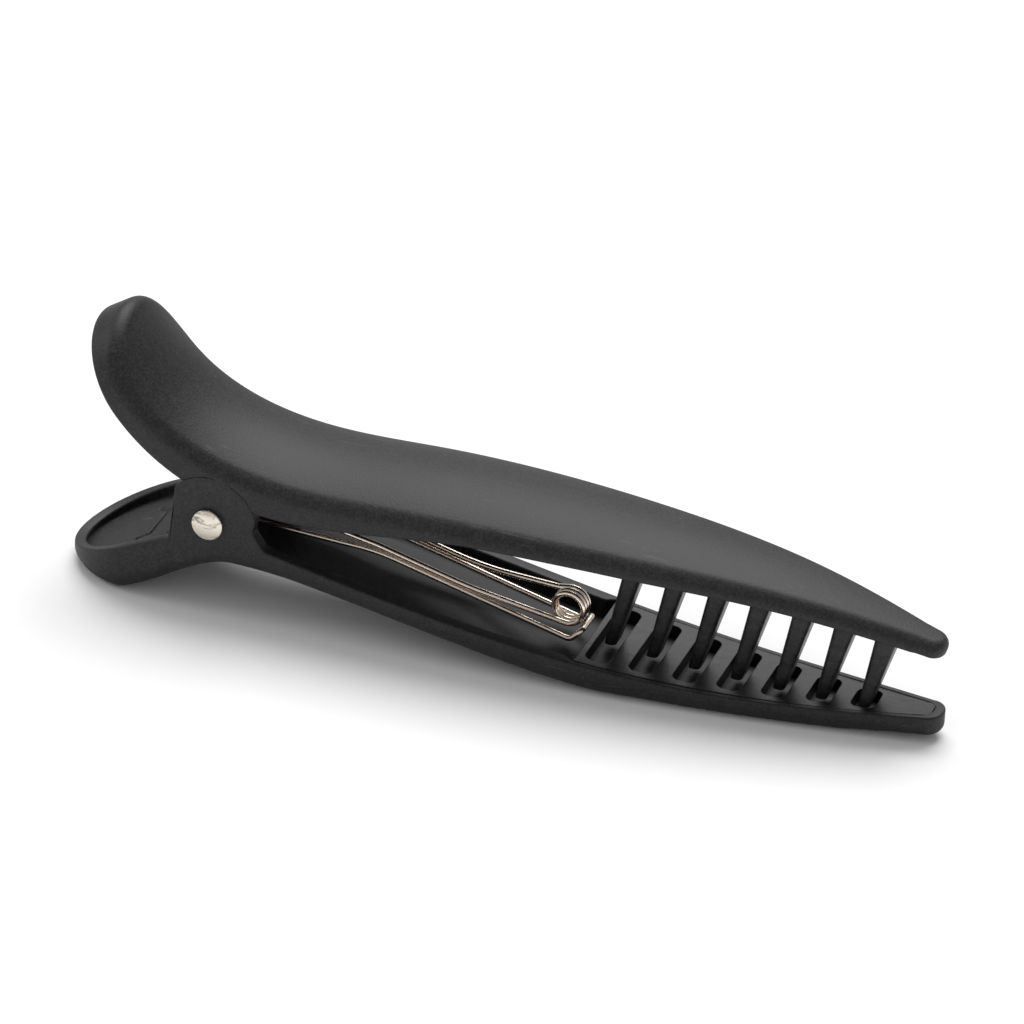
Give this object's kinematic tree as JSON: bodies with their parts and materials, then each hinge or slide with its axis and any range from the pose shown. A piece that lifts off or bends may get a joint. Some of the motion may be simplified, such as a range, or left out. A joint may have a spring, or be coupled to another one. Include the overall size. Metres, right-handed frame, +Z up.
{
  "type": "hair sectioning clip",
  "caption": "Hair sectioning clip: crowned upper jaw with thumb tab and raked comb teeth, slotted lower jaw with paddle, rivet pivot, torsion spring and throat wire spring.",
  "frame": {"origin": "bottom centre of the closed clip, on the surface it rests on", "axes": "+X towards the tips, +Y across the jaws, +Z up from the resting surface"},
  "size_m": [0.1142, 0.021, 0.0364],
  "materials": {
    "jaw_plastic": "fine spark-eroded matte, charcoal black",
    "comb_plastic": "satin moulded, charcoal black",
    "nickel_plate": "nickel plated",
    "spring_wire": "drawn steel wire",
    "throat_wire": "bright nickel-plated wire"
  },
  "bodies": {
    "lower": {"lower_jaw": "jaw_plastic", "lower_comb": "comb_plastic", "pivot_rivet": "nickel_plate", "rivet_cap": "nickel_plate", "torsion_spring": "spring_wire"},
    "upper": {"upper_jaw": "jaw_plastic", "upper_comb": "comb_plastic"},
    "throat": {"throat_spring": "throat_wire"}
  },
  "joints": [
    {"name": "jaw_open", "type": "hinge", "parent": "lower", "child": "upper", "pos_m": [-0.0363, 0, 0.0128], "axis": [0, -1, 0], "range_deg": [0, 60], "stiffness_Nm_per_rad": 0.1, "springref_deg": -34.38, "deforming": ["torsion_spring"]},
    {"name": "throat_spring_flex", "type": "hinge", "parent": "upper", "child": "throat", "pos_m": [-0.0363, 0, 0.0128], "axis": [0, -1, 0], "range_deg": [0, 8], "stiffness_Nm_per_rad": 0.004, "springref_deg": -17.19}
  ]
}
